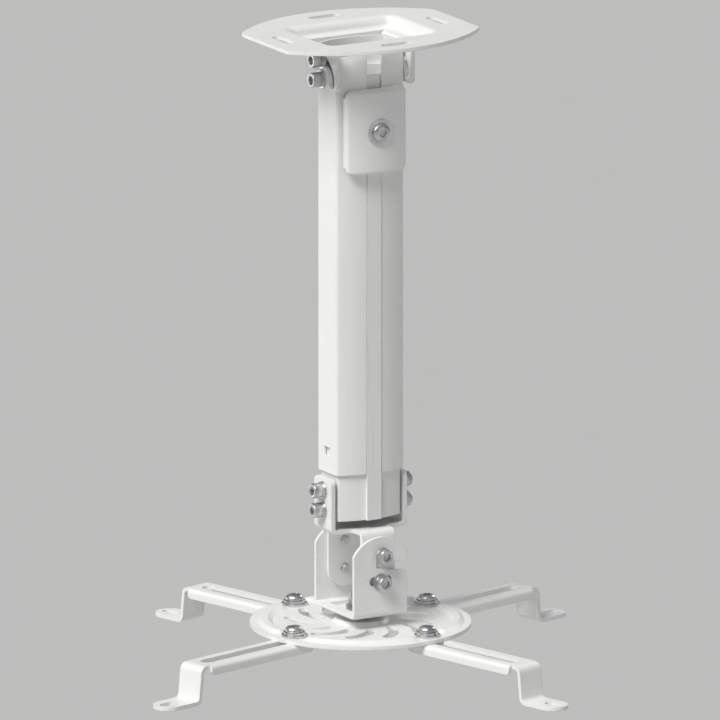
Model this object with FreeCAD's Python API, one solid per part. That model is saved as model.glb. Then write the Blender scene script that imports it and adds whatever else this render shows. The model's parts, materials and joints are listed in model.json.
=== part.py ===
import FreeCAD, Part
import math
import os

# Telescopic ceiling mount for a projector, in millimetres, +Z up.
# A pressed ceiling plate carries a two-part column between its ears. A folded
# bracket under the column carries a yoke, and a round plate with four arms
# turns under the yoke. The origin is the centre of the ceiling plate's top
# face. X runs through the plate's two ears, and the clamp faces -Y.

os.makedirs("parts", exist_ok=True)
V = FreeCAD.Vector
X_WAY = V(1, 0, 0)
Y_WAY = V(0, 1, 0)
Z_WAY = V(0, 0, 1)
ORIGIN = V(0, 0, 0)

# Running clearances
turn_gap = 0.1
slide_gap = 0.4
rib_side_gap = 0.25
curve_gap = 0.3
screw_play = 0.4

# Directions in a side view, in degrees
straight_up = 90.0
straight_down = -90.0

# How far a cutting tool runs past the faces it opens, and how near is the same place
overrun = 1.0
same_place = 0.01

# Screws and washers of thread size 6
small_thread = 6.0
small_head = 10.0
small_head_height = 6.0
small_key = 5.0
small_washer = 12.0
small_washer_sheet = 1.0
small_spring_washer = 10.4
small_spring_sheet = 1.4
small_nut_flats = 10.0
small_nut_height = 5.0
small_head_edge = 0.8
screw_end_spare = 2.0
spring_washer_gap = 0.6
spring_washer_lead = 25.0

# Ceiling plate
plate_half_x = 73.2
plate_half_y = 62.5
plate_side_radius = 100.0
plate_corner_radius = 5.0
plate_sheet = 2.4
tray_half_x = 39.2
tray_half_y = 28.4
tray_corner_radius = 5.4
tray_depth = 7.4
tray_rim_radius = 4.6
tray_floor_radius = 2.6
floor_cut_half_y = 21.5
fixing_slot_length = 23.0
fixing_slot_width = 7.0
fixing_x = 58.6
fixing_y = 47.7

# Ears of the ceiling plate and the column's pivot
pivot_drop = 29.7
plate_ear_half_y = 20.0
plate_ear_below_pivot = 6.1
plate_ear_corner = 3.0
plate_ear_bend = 0.4
column_screw_spacing = 13.4
column_tilt = 90.0
column_slot_play = 4.0
column_spacer = 1.6
column_spacer_width = 12.0

# Outer tube
tube_half_x = 25.6
tube_half_y = 18.3
tube_bulge = 59.3
tube_corner = 2.2
tube_wall = 1.5
tube_above_pivot = 21.7
tube_length = 289.3
tube_slot_half = 5.7
window_width = 7.0
window_height = 6.0
window_up = 14.3

# Inner tube
inner_top_up = 2.6
inner_below_tube = 31.5
inner_corner = 1.4
notch_half = 7.2
notch_depth = 10.9
notch_corner = 3.6
rib_start_down = 58.0

# Clamp
clamp_down = 36.9
cover_half_x = 22.5
cover_half_z = 28.25
cover_front = 26.2
cover_bulge = 56.2
cover_back = 15.9
cover_sheet = 1.6
cover_corner = 3.6
cover_edge_radius = 2.4
cover_relief = 4.6
pad_half_x = 17.0
pad_half_z = 22.0
pad_corner = 2.0
clamp_thread = 8.0
clamp_head = 13.0
clamp_head_height = 2.8
clamp_key = 5.0
clamp_washer = 18.0
clamp_washer_sheet = 1.0
clamp_screw_length = 20.0
clamp_nut_width = 16.0
clamp_nut_height = 5.0
clamp_nut_corner = 1.0

# Lower bracket
bracket_sheet = 3.0
bracket_bend = 1.3
bracket_gap = 5.9
bracket_ear_half_y = 11.5
bracket_ear_height = 34.5
bracket_ear_corner = 4.0
bracket_spacer = 2.2
bracket_screw_up = 12.6
bracket_screw_spacing = 13.4
tongue_half_x = 12.4
tongue_outer_y = 23.8
tongue_plan_fillet = 3.0

# Tilt joint between bracket and yoke
tilt_pivot_down = 16.0
tilt_bolt_spacing = 18.9
tilt_head_height = 5.0
hook_bolt_stand_off = 2.5
tilt_range = 15.0
tilt_slot_play = 1.0

# Yoke
yoke_sheet = 2.5
yoke_bend = 0.7
yoke_half_x = 20.2
yoke_arch_radius = 23.3
yoke_arch_down = 11.6
yoke_base_down = 39.95
hook_tip_radius = 4.2
hook_seat_radius = 3.3
hook_lip_down = 4.2
hook_mouth = 6.2
hook_slope = 8.6
hook_lip_corner = 1.1
hook_back_corner = 1.65
hook_sill_corner = 3.5
recess_half_x = 14.4
recess_half_y = 16.0
recess_corner = 2.0
recess_wall = 1.6

# Swivel bolt
swivel_thread = 8.0
swivel_head = 16.0
swivel_head_height = 9.8
swivel_head_edge = 1.6
swivel_key = 6.0
swivel_washer = 20.0
swivel_washer_sheet = 2.4
swivel_bush = 10.6
swivel_bush_length = 3.2
swivel_low_washer = 16.0
swivel_low_washer_sheet = 1.6
swivel_nut_flats = 13.0
swivel_nut_height = 6.5
swivel_bolt_spare = 1.3

# Round plate
arm_screw_radius = 62.2
disc_rim = 11.4
disc_sheet = 2.5
boss_base_radius = 19.2
boss_top_radius = 16.6
boss_height = 2.3
rib_inset = 10.0
rib_base_half = 5.2
rib_top_half = 2.2
rib_height = 2.4
rib_half_angle = 31.0
swirl_count = 12
swirl_width = 7.2
swirl_inner_radius = 29.0
swirl_inner_angle = 15.0
swirl_outer_radius = 48.0
swirl_outer_angle = -8.0
swirl_curve = 26.7
disc_turn = -30.0

# Arms and their screws
arm_names = ["rear_right", "rear_left", "front_left", "front_right"]
arm_first_angle = 45.0
arm_sheet = 2.5
arm_width = 25.0
arm_bend = 0.3
arm_flat_half = 10.0
arm_depth = 6.5
arm_flange_back = 5.6
arm_flange_length = 94.0
arm_flange_corner = 3.0
arm_slot_width = 8.5
arm_slot_margin = 7.3
leg_bend = 2.7
leg_out = 7.4
leg_lean = 2.5
foot_drop = 22.9
foot_run = 19.0
foot_slot_length = 12.6
foot_slot_width = 6.6
arm_thread = 8.0
arm_head = 12.0
arm_head_height = 3.7
arm_key = 5.0
arm_washer = 17.0
arm_washer_sheet = 1.6
arm_spring_washer = 14.4
arm_spring_sheet = 1.8
arm_nut_flats = 13.0
arm_nut_height = 4.0
arm_screw_spare = 0.5

# Domed heads: height of the rim and depth of the key, as shares of the head's height
button_rim = 0.2
button_key_depth = 0.6

# Heights worked out from the sizes above
pivot_z = -pivot_drop
tube_top_z = pivot_z + tube_above_pivot
tube_bottom_z = tube_top_z - tube_length
inner_top_z = pivot_z + inner_top_up
inner_bottom_z = tube_bottom_z - inner_below_tube
clamp_z = inner_top_z - clamp_down
bracket_top_z = inner_bottom_z - bracket_gap
tilt_z = bracket_top_z - tilt_pivot_down
tilt_low_z = tilt_z - tilt_bolt_spacing
yoke_base_z = tilt_z - yoke_base_down
recess_floor_z = yoke_base_z - yoke_sheet
bush_top_z = recess_floor_z - yoke_sheet
boss_top_z = bush_top_z - swivel_bush_length - turn_gap
disc_top_z = boss_top_z - boss_height
disc_low_z = disc_top_z - disc_sheet
arm_top_z = disc_low_z - turn_gap
foot_top_z = arm_top_z - foot_drop

# Widths worked out from the sizes above
plate_ear_inner_x = tube_half_x + column_spacer + turn_gap
plate_ear_outer_x = plate_ear_inner_x + plate_sheet
inner_shrink = tube_wall + slide_gap
inner_half_x = tube_half_x - inner_shrink
inner_half_y = tube_half_y - inner_shrink
inner_bulge = tube_bulge - inner_shrink
rib_half = tube_slot_half - rib_side_gap
bracket_inner_x = inner_half_x + bracket_spacer
bracket_outer_x = bracket_inner_x + bracket_sheet
yoke_inner_y = tongue_outer_y + 2 * turn_gap
yoke_outer_y = yoke_inner_y + yoke_sheet
small_stack = small_washer_sheet + small_spring_sheet

# Distances from the round plate's axis worked out from the sizes above
disc_radius = arm_screw_radius + disc_rim
rib_radius = disc_radius - rib_inset
arm_flange_start = arm_screw_radius - arm_flange_back
arm_flange_end = arm_flange_start + arm_flange_length
arm_slot_end = arm_flange_end - arm_slot_margin
leg_top_reach = arm_flange_end + leg_out
leg_bottom_reach = leg_top_reach + leg_lean
foot_reach = leg_bottom_reach + foot_run


# General shapes

def rounded_wire(corners):
    """Closed wire in XY through (x, y, radius) corners, each rounded by its radius."""
    points = [V(x, y, 0) for x, y, radius in corners]
    count = len(points)
    starts = []
    middles = []
    ends = []
    for i in range(count):
        back = (points[i - 1] - points[i]).normalize()
        ahead = (points[(i + 1) % count] - points[i]).normalize()
        half = back.getAngle(ahead) / 2
        radius = corners[i][2]
        starts.append(points[i] + back * (radius / math.tan(half)))
        ends.append(points[i] + ahead * (radius / math.tan(half)))
        inward = (back + ahead).normalize() if radius > 0 else V(0, 0, 0)
        middles.append(points[i] + inward * (radius / math.sin(half) - radius))
    edges = []
    for i in range(count):
        if corners[i][2] > 0:
            edges.append(Part.Arc(starts[i], middles[i], ends[i]).toShape())
        following = starts[(i + 1) % count]
        if (following - ends[i]).Length > 1e-6:
            edges.append(Part.LineSegment(ends[i], following).toShape())
    return Part.Wire(edges)


def prism(corners, low, high):
    """Solid on rounded corners in XY, from z = low to high."""
    face = Part.Face(rounded_wire(corners))
    face.translate(V(0, 0, low))
    return face.extrude(V(0, 0, high - low))


def prism_along_x(corners, low, high):
    """Solid on (y, z, radius) corners, from x = low to high."""
    solid = prism(corners, low, high)
    solid.rotate(ORIGIN, V(1, 1, 1), 120)
    return solid


def prism_along_y(corners, low, high):
    """Solid on (x, z, radius) corners, from y = low to high."""
    solid = prism(corners, -high, -low)
    solid.rotate(ORIGIN, X_WAY, 90)
    return solid


def rectangle(half_x, half_y, radius=0.0, x=0.0, y=0.0):
    """Corners of a centred rectangle, all with one radius."""
    return [
        (x - half_x, y - half_y, radius),
        (x + half_x, y - half_y, radius),
        (x + half_x, y + half_y, radius),
        (x - half_x, y + half_y, radius),
    ]


def block(x_low, x_high, y_low, y_high, z_low, z_high):
    return Part.makeBox(x_high - x_low, y_high - y_low, z_high - z_low, V(x_low, y_low, z_low))


def rod(radius, start, finish):
    """Cylinder from one point to another."""
    way = finish - start
    return Part.makeCylinder(radius, way.Length, start, way)


def ring(outer, inner, height, base=ORIGIN, way=Z_WAY):
    """Flat ring of two diameters."""
    solid = Part.makeCylinder(outer / 2, height, base, way)
    return solid.cut(Part.makeCylinder(inner / 2, height, base, way))


def hexagon(flats, low, high):
    """Six-sided prism along Z."""
    reach = flats / math.sqrt(3)
    turns = [math.radians(60 * i) for i in range(6)]
    return prism([(reach * math.cos(a), reach * math.sin(a), 0) for a in turns], low, high)


def slot(length, width, low, high):
    """Round-ended slot along X, centred on the origin."""
    straight = (length - width) / 2
    body = block(-straight, straight, -width / 2, width / 2, low, high)
    for side in (-straight, straight):
        body = body.fuse(rod(width / 2, V(side, 0, low), V(side, 0, high)))
    return body.removeSplitter()


def arc_slot(radius, width, first, last, low, high):
    """Round-ended slot on a circle about Z, between two angles in degrees."""
    outer = radius + width / 2
    inner = radius - width / 2
    sector = Part.makeCylinder(outer, high - low, V(0, 0, low), Z_WAY, last - first)
    sector = sector.cut(Part.makeCylinder(inner, high - low, V(0, 0, low), Z_WAY))
    sector.rotate(ORIGIN, Z_WAY, first)
    for angle in (first, last):
        turn = math.radians(angle)
        centre = V(radius * math.cos(turn), radius * math.sin(turn), low)
        sector = sector.fuse(rod(width / 2, centre, centre + V(0, 0, high - low)))
    return sector.removeSplitter()


def barrel(half_x, half_y, bulge, corner, low, high):
    """Solid with flat sides at +-half_x and bulged sides that reach +-half_y."""
    solid = block(-half_x, half_x, -half_y, half_y, low, high)
    for side in (1, -1):
        centre = V(0, side * (half_y - bulge), low)
        solid = solid.common(Part.makeCylinder(bulge, high - low, centre))
    return solid.makeFillet(corner, edges_along(solid, Z_WAY))


def barrel_y(half_y, bulge, x):
    """How far out the bulged side of a barrel lies at x."""
    return half_y - bulge + math.sqrt(bulge * bulge - x * x)


def edges_along(solid, way, keep=None):
    """Straight edges that run one way, or only those whose centre passes keep."""
    found = []
    for edge in solid.Edges:
        if edge.Curve.TypeId != "Part::GeomLine":
            continue
        if edge.tangentAt(edge.FirstParameter).cross(way).Length > 1e-6:
            continue
        if keep is None or keep(edge.CenterOfMass):
            found.append(edge)
    return found


def sheet_section(path, thickness, bend):
    """Corners of a folded sheet's section. The path is one face, the sheet lies to its left."""
    normals = []
    for (x0, y0), (x1, y1) in zip(path, path[1:]):
        length = math.hypot(x1 - x0, y1 - y0)
        normals.append(((y0 - y1) / length, (x1 - x0) / length))
    face = []
    back = []
    for i, (x, y) in enumerate(path):
        before = normals[max(i - 1, 0)]
        after = normals[min(i, len(normals) - 1)]
        turn = before[0] * after[1] - before[1] * after[0]
        share = thickness / (1 + before[0] * after[0] + before[1] * after[1])
        at_end = i in (0, len(path) - 1)
        face_radius = 0 if at_end else (bend + thickness if turn > 0 else bend)
        back_radius = 0 if at_end else (bend if turn > 0 else bend + thickness)
        face.append((x, y, face_radius))
        shift_x = (before[0] + after[0]) * share
        shift_y = (before[1] + after[1]) * share
        back.append((x + shift_x, y + shift_y, back_radius))
    return face + back[::-1]


def placed(shape, point, way=Z_WAY):
    """Copy with its own +Z turned to a direction and its origin moved to a point."""
    copy = shape.copy()
    turn = FreeCAD.Placement(point, FreeCAD.Rotation(Z_WAY, way))
    copy.Placement = turn.multiply(copy.Placement)
    return copy


def turned(shape, angle):
    """Copy turned about the Z axis."""
    copy = shape.copy()
    copy.rotate(ORIGIN, Z_WAY, angle)
    return copy


def export(name, shape):
    """Write one sub-part and stop if its solids are not sound."""
    if not shape.isValid() or not shape.Solids:
        raise ValueError(name + " is not a sound solid")
    shape.exportStep("parts/" + name + ".step")


# Fasteners, each with its seat at z = 0 and its shank down -Z

def turned_screw(thread, length, head_outline, key, key_depth):
    """Screw from half its outline: (radius, height) points from the seat to the top."""
    top = head_outline[-1][1]
    points = [V(0, 0, -length), V(thread / 2, 0, -length), V(thread / 2, 0, 0)]
    points += [V(radius, 0, height) for radius, height in head_outline]
    points += [V(0, 0, top), V(0, 0, -length)]
    body = Part.Face(Part.makePolygon(points)).revolve(ORIGIN, Z_WAY, 360)
    return body.cut(hexagon(key, top - key_depth, top))


def cap_screw(thread, head, head_height, key, length, edge):
    """Socket cap screw whose upper rim is broken in two steps."""
    step = edge * (1 - math.sqrt(0.5))
    outline = [
        (head / 2, 0),
        (head / 2, head_height - edge),
        (head / 2 - step, head_height - step),
        (head / 2 - edge, head_height),
    ]
    return turned_screw(thread, length, outline, key, head_height / 2)


def button_screw(thread, head, head_height, key, length):
    """Socket screw whose domed head is turned in three steps above a low rim."""
    rim = button_rim * head_height
    rise = head_height - rim
    dome = ((head / 2) ** 2 + rise ** 2) / (2 * rise)
    outline = [(head / 2, 0)]
    for share in (0, 1 / 3, 2 / 3):
        height = rise * share
        outline.append((math.sqrt(dome ** 2 - (dome - rise + height) ** 2), rim + height))
    outline.append((outline[-1][0] * 2 / 3, head_height))
    return turned_screw(thread, length, outline, key, button_key_depth * head_height)


def spring_washer(outer, thread, thickness):
    """Split ring, closed flat by its screw."""
    body = ring(outer, thread + screw_play, thickness)
    gap = block(0, outer, -spring_washer_gap / 2, spring_washer_gap / 2, 0, thickness)
    gap.rotate(V(outer / 3, 0, thickness / 2), X_WAY, spring_washer_lead)
    return body.cut(gap)


def nut(flats, thread, height):
    """Plain nut on z = 0 that rises along +Z."""
    return hexagon(flats, 0, height).cut(Part.makeCylinder(thread / 2, height))


# Ceiling plate

def plate_ear(side):
    """One ear, folded down from the tray's floor, with its pivot hole and arc slot."""
    floor_z = -tray_depth
    bottom_z = pivot_z - plate_ear_below_pivot
    root_x = tray_half_x - tray_floor_radius
    path = [(root_x, floor_z), (plate_ear_inner_x, floor_z), (plate_ear_inner_x, bottom_z)]
    section = sheet_section(path, plate_sheet, plate_ear_bend)
    ear = prism_along_y(section, -plate_ear_half_y, plate_ear_half_y)
    side_view = [
        (-plate_ear_half_y, bottom_z, plate_ear_corner),
        (plate_ear_half_y, bottom_z, plate_ear_corner),
        (plate_ear_half_y, 0, 0),
        (-plate_ear_half_y, 0, 0),
    ]
    ear = ear.common(prism_along_x(side_view, 0, plate_half_x))
    hole = Part.makeCylinder((small_thread + screw_play) / 2, plate_half_x)
    travel = arc_slot(column_screw_spacing, small_thread + screw_play,
                      straight_up - column_slot_play,
                      straight_up + column_tilt + column_slot_play, 0, plate_half_x)
    for cut in (hole, travel):
        cut.rotate(ORIGIN, V(1, 1, 1), 120)
        cut.translate(V(0, 0, pivot_z))
        ear = ear.cut(cut)
    if side < 0:
        ear = ear.mirror(ORIGIN, X_WAY)
    return ear


def make_ceiling_plate():
    """Plate with a pressed tray, two ears and four fixing slots, all one sheet."""
    plate = barrel(plate_half_x, plate_half_y, plate_side_radius, plate_corner_radius,
                   -plate_sheet, 0)
    under = tray_depth + plate_sheet
    outer = rectangle(tray_half_x + plate_sheet, tray_half_y + plate_sheet,
                      tray_corner_radius + plate_sheet)
    tray = prism(outer, -under, -plate_sheet)
    low_rim = [e for e in tray.Edges if abs(e.CenterOfMass.z + under) < same_place]
    tray = tray.makeFillet(tray_floor_radius + plate_sheet, low_rim)
    plate = plate.fuse(tray).removeSplitter()
    joint = [
        e for e in plate.Edges
        if abs(e.CenterOfMass.z + plate_sheet) < same_place
        and abs(e.CenterOfMass.x) < tray_half_x + plate_sheet + same_place
        and abs(e.CenterOfMass.y) < tray_half_y + plate_sheet + same_place
    ]
    plate = plate.makeFillet(tray_rim_radius - plate_sheet, joint)
    hollow = prism(rectangle(tray_half_x, tray_half_y, tray_corner_radius), -tray_depth, 0)
    low_rim = [e for e in hollow.Edges if abs(e.CenterOfMass.z + tray_depth) < same_place]
    hollow = hollow.makeFillet(tray_floor_radius, low_rim)
    plate = plate.cut(hollow)
    rim = [
        e for e in plate.Edges
        if abs(e.CenterOfMass.z) < same_place
        and abs(e.CenterOfMass.x) < tray_half_x + same_place
        and abs(e.CenterOfMass.y) < tray_half_y + same_place
    ]
    plate = plate.makeFillet(tray_rim_radius, rim)
    cut_half_x = plate_ear_inner_x + plate_ear_bend + plate_sheet
    plate = plate.cut(block(-cut_half_x, cut_half_x, -floor_cut_half_y, floor_cut_half_y,
                            -under - overrun, 0))
    for side in (1, -1):
        plate = plate.fuse(plate_ear(side))
    across = slot(fixing_slot_length, fixing_slot_width, -plate_sheet - overrun, overrun)
    along = turned(across, 90)
    for side in (1, -1):
        plate = plate.cut(placed(across, V(0, side * fixing_y, 0)))
        plate = plate.cut(placed(along, V(side * fixing_x, 0, 0)))
    return plate.removeSplitter()


# Column

def make_outer_tube():
    """C-shaped tube, open along its front, with screw holes and a window."""
    tube = barrel(tube_half_x, tube_half_y, tube_bulge, tube_corner, tube_bottom_z, tube_top_z)
    bore = barrel(tube_half_x - tube_wall, tube_half_y - tube_wall, tube_bulge - tube_wall,
                  tube_corner - tube_wall, tube_bottom_z - overrun, tube_top_z + overrun)
    tube = tube.cut(bore)
    tube = tube.cut(block(-tube_slot_half, tube_slot_half, -tube_half_y - overrun, 0,
                          tube_bottom_z - overrun, tube_top_z + overrun))
    for z in (pivot_z, pivot_z + column_screw_spacing):
        tube = tube.cut(rod((small_thread + screw_play) / 2, V(-plate_half_x, 0, z),
                            V(plate_half_x, 0, z)))
    window_z = tube_bottom_z + window_up
    window = rectangle(window_width / 2, window_height / 2, 0.0, 0.0, window_z)
    return tube.cut(prism_along_x(window, -tube_half_x - overrun, 0))


def make_inner_tube():
    """Tube that slides in the outer one, with a raised rib that runs in its slot."""
    tube = barrel(inner_half_x, inner_half_y, inner_bulge, inner_corner,
                  inner_bottom_z, inner_top_z)
    rib_top_z = inner_top_z - rib_start_down
    tube = tube.fuse(block(-rib_half, rib_half, -tube_half_y, 0, inner_bottom_z, rib_top_z))
    bore = barrel(inner_half_x - tube_wall, inner_half_y - tube_wall, inner_bulge - tube_wall,
                  inner_corner / 2, inner_bottom_z - overrun, inner_top_z + overrun)
    rib_back = rib_half - tube_wall
    bore = bore.fuse(block(-rib_back, rib_back, tube_wall - tube_half_y, 0,
                           inner_bottom_z - overrun, rib_top_z - tube_wall))
    tube = tube.cut(bore)
    notch = [
        (-notch_half, inner_top_z - notch_depth, notch_corner),
        (notch_half, inner_top_z - notch_depth, notch_corner),
        (notch_half, inner_top_z + overrun, 0),
        (-notch_half, inner_top_z + overrun, 0),
    ]
    reach = inner_half_x + overrun
    tube = tube.cut(prism_along_x(notch, -reach, reach))
    for z in bracket_screw_heights():
        tube = tube.cut(rod((small_thread + screw_play) / 2, V(-reach, 0, z), V(reach, 0, z)))
    hole = rod((clamp_thread + screw_play) / 2, V(0, -inner_half_y - overrun, clamp_z),
               V(0, 0, clamp_z))
    return tube.cut(hole)


def side_fasteners(shape, reach, heights):
    """Copies of a fastener on both sides of the column, pointing outwards."""
    copies = []
    for z in heights:
        for side in (1, -1):
            copies.append(placed(shape, V(side * reach, 0, z), V(side, 0, 0)))
    return Part.makeCompound(copies)


def bracket_screw_heights():
    low = bracket_top_z + bracket_screw_up
    return (low, low + bracket_screw_spacing)


def make_side_screws(prefix, ear_x, heights, wall_x, spacer, spacer_width):
    """Screw, washers, spacers and nuts that hold a tube between two ears."""
    nut_x = wall_x - tube_wall
    length = ear_x + small_stack - nut_x + small_nut_height + screw_end_spare
    screw = cap_screw(small_thread, small_head, small_head_height, small_key, length,
                      small_head_edge)
    bore = small_thread + screw_play
    flat = ring(small_washer, bore, small_washer_sheet)
    split = spring_washer(small_spring_washer, small_thread, small_spring_sheet)
    fixed_nut = nut(small_nut_flats, small_thread, small_nut_height)
    fixed_nut.rotate(ORIGIN, X_WAY, 180)
    export(prefix + "_screws", side_fasteners(screw, ear_x + small_stack, heights))
    export(prefix + "_flat_washers", side_fasteners(flat, ear_x, heights))
    export(prefix + "_spring_washers", side_fasteners(split, ear_x + small_washer_sheet, heights))
    export(prefix + "_spacers", side_fasteners(ring(spacer_width, bore, spacer), wall_x, heights))
    export(prefix + "_nuts", side_fasteners(fixed_nut, nut_x, heights))


# Clamp

def cover_form(half_x, half_z, front, bulge, back, corner, edge):
    """Curved-front block, rounded in front view and along its front edges."""
    solid = block(-half_x, half_x, -front, -back, clamp_z - half_z, clamp_z + half_z)
    round_front = Part.makeCylinder(bulge, 2 * half_z, V(0, bulge - front, clamp_z - half_z))
    solid = solid.common(round_front)
    solid = solid.makeFillet(corner, edges_along(solid, Y_WAY))
    if edge == 0:
        return solid
    front_edges = [e for e in solid.Edges if edge_is_on_front(e, front, bulge)]
    return solid.makeFillet(edge, front_edges)


def edge_is_on_front(edge, front, bulge):
    """True for an edge that lies wholly on the curved front."""
    for point in edge.discretize(5):
        if abs(math.hypot(point.x, point.y - (bulge - front)) - bulge) > same_place:
            return False
    return True


def make_clamp_cover():
    """Folded pan over the clamp, with open corners between its four flanges."""
    cover = cover_form(cover_half_x, cover_half_z, cover_front, cover_bulge, cover_back,
                       cover_corner, cover_edge_radius)
    hollow = cover_form(cover_half_x - cover_sheet, cover_half_z - cover_sheet,
                        cover_front - cover_sheet, cover_bulge - cover_sheet,
                        cover_back - overrun, cover_corner - cover_sheet, 0)
    cover = cover.cut(hollow)
    relief_front = barrel_y(cover_front, cover_bulge, cover_half_x) - cover_edge_radius
    for side in (1, -1):
        for end in (1, -1):
            x_out = side * (cover_half_x + overrun)
            x_in = side * (cover_half_x - cover_relief)
            z_out = clamp_z + end * (cover_half_z + overrun)
            z_in = clamp_z + end * (cover_half_z - cover_relief)
            cover = cover.cut(block(min(x_out, x_in), max(x_out, x_in), -relief_front, 0,
                                    min(z_out, z_in), max(z_out, z_in)))
    cover = cover.cut(tube_face(clamp_z - cover_half_z, clamp_z + cover_half_z))
    hole = rod((clamp_thread + screw_play) / 2, V(0, -cover_front - overrun, clamp_z),
               V(0, 0, clamp_z))
    return cover.cut(hole)


def tube_face(low, high):
    """Cylinder on the outer tube's bulged front, with room to slide."""
    return Part.makeCylinder(tube_bulge + curve_gap, high - low,
                             V(0, tube_bulge - tube_half_y, low))


def make_clamp_pad():
    """Moulded pad that fills the cover and presses on the outer tube's face."""
    front = cover_front - cover_sheet
    bulge = cover_bulge - cover_sheet
    low = clamp_z - pad_half_z
    pad = prism_along_y(rectangle(pad_half_x, pad_half_z, pad_corner, 0, clamp_z), -front, 0)
    pad = pad.common(Part.makeCylinder(bulge - turn_gap / 2, 2 * pad_half_z,
                                       V(0, bulge - front, low)))
    pad = pad.cut(tube_face(low, low + 2 * pad_half_z))
    return pad.cut(rod((clamp_thread + screw_play) / 2, V(0, -front, clamp_z),
                       V(0, 0, clamp_z)))


def make_clamp():
    """Cover, pad, screw, washer and square nut, all on the inner tube."""
    export("clamp_cover", make_clamp_cover())
    export("clamp_pad", make_clamp_pad())
    front = V(0, -1, 0)
    washer = ring(clamp_washer, clamp_thread + screw_play, clamp_washer_sheet)
    export("clamp_washer", placed(washer, V(0, -cover_front, clamp_z), front))
    screw = button_screw(clamp_thread, clamp_head, clamp_head_height, clamp_key,
                         clamp_screw_length)
    seat = V(0, -cover_front - clamp_washer_sheet, clamp_z)
    export("clamp_screw", placed(screw, seat, front))
    half = clamp_nut_width / 2
    wall = barrel_y(inner_half_y - tube_wall, inner_bulge - tube_wall, half)
    square = prism(rectangle(half, half, clamp_nut_corner), 0, clamp_nut_height)
    square = square.cut(Part.makeCylinder(clamp_thread / 2, clamp_nut_height))
    export("clamp_nut", placed(square, V(0, -wall, clamp_z), Y_WAY))


# Lower bracket

def make_lower_bracket():
    """One cross-shaped sheet: two ears folded up, two tongues folded down."""
    ear_top_z = bracket_top_z + bracket_ear_height
    under_z = bracket_top_z - bracket_sheet
    path = [(-bracket_outer_x, ear_top_z), (-bracket_outer_x, under_z),
            (bracket_outer_x, under_z), (bracket_outer_x, ear_top_z)]
    ears = prism_along_y(sheet_section(path, bracket_sheet, bracket_bend),
                         -bracket_ear_half_y, bracket_ear_half_y)
    ear_view = [
        (-bracket_ear_half_y, under_z, 0),
        (bracket_ear_half_y, under_z, 0),
        (bracket_ear_half_y, ear_top_z, bracket_ear_corner),
        (-bracket_ear_half_y, ear_top_z, bracket_ear_corner),
    ]
    ears = ears.common(prism_along_x(ear_view, -bracket_outer_x, bracket_outer_x))
    low_z = tilt_low_z - tongue_half_x
    path = [(tongue_outer_y, low_z), (tongue_outer_y, bracket_top_z),
            (-tongue_outer_y, bracket_top_z), (-tongue_outer_y, low_z)]
    tongues = prism_along_x(sheet_section(path, bracket_sheet, bracket_bend),
                            -tongue_half_x, tongue_half_x)
    tongue_view = [
        (-tongue_half_x, low_z, tongue_half_x),
        (tongue_half_x, low_z, tongue_half_x),
        (tongue_half_x, bracket_top_z, 0),
        (-tongue_half_x, bracket_top_z, 0),
    ]
    tongues = tongues.common(prism_along_y(tongue_view, -tongue_outer_y, tongue_outer_y))
    bracket = ears.fuse(tongues).removeSplitter()

    def at_inner_corner(point):
        return (abs(abs(point.x) - tongue_half_x) < same_place
                and abs(abs(point.y) - bracket_ear_half_y) < same_place)

    bracket = bracket.makeFillet(tongue_plan_fillet,
                                 edges_along(bracket, Z_WAY, at_inner_corner))
    clear = (small_thread + screw_play) / 2
    for z in bracket_screw_heights():
        bracket = bracket.cut(rod(clear, V(-bracket_outer_x, 0, z), V(bracket_outer_x, 0, z)))
    for z in (tilt_z, tilt_low_z):
        bracket = bracket.cut(rod(small_thread / 2, V(0, -tongue_outer_y, z),
                                  V(0, tongue_outer_y, z)))
    return bracket


def make_tilt_bolts():
    """Bolts screwed into the tongues. The upper two stand off, so that the hooks slip on."""
    end = tongue_outer_y - bracket_sheet - screw_end_spare
    low_seat = yoke_outer_y + turn_gap
    flat = ring(small_washer, small_thread + screw_play, small_washer_sheet)
    split = spring_washer(small_spring_washer, small_thread, small_spring_sheet)
    bolts = []
    flats = []
    splits = []
    for z, split_seat in ((tilt_z, low_seat + hook_bolt_stand_off),
                          (tilt_low_z, low_seat + small_washer_sheet)):
        seat = split_seat + small_spring_sheet
        bolt = cap_screw(small_thread, small_head, tilt_head_height, small_key, seat - end,
                         small_head_edge)
        for side in (1, -1):
            way = V(0, side, 0)
            bolts.append(placed(bolt, V(0, side * seat, z), way))
            splits.append(placed(split, V(0, side * split_seat, z), way))
            if z == tilt_low_z:
                flats.append(placed(flat, V(0, side * low_seat, z), way))
    export("tilt_bolts", Part.makeCompound(bolts))
    export("tilt_flat_washers", Part.makeCompound(flats))
    export("tilt_spring_washers", Part.makeCompound(splits))


# Yoke

def hook_edges():
    """Heights, on the yoke's centre line, of the hook's lip and of the sill under it."""
    fall = math.tan(math.radians(hook_slope))
    lip_z = tilt_z - hook_lip_down
    sill_z = lip_z - hook_mouth + hook_seat_radius * fall
    return fall, lip_z, sill_z


def hook_notch():
    """Way in for the upper bolt: a mouth at the side, then up into its seat."""
    seat = hook_seat_radius
    fall, lip_z, sill_z = hook_edges()
    far = yoke_half_x + overrun
    mouth = [
        (-seat, sill_z + seat * fall, hook_back_corner),
        (far, sill_z - far * fall, 0),
        (far, lip_z - far * fall, 0),
        (seat, lip_z - seat * fall, hook_lip_corner),
        (seat, tilt_z, 0),
        (-seat, tilt_z, 0),
    ]
    reach = yoke_outer_y + overrun
    notch = prism_along_y(mouth, -reach, reach)
    return notch.fuse(rod(seat, V(0, -reach, tilt_z), V(0, reach, tilt_z)))


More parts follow.
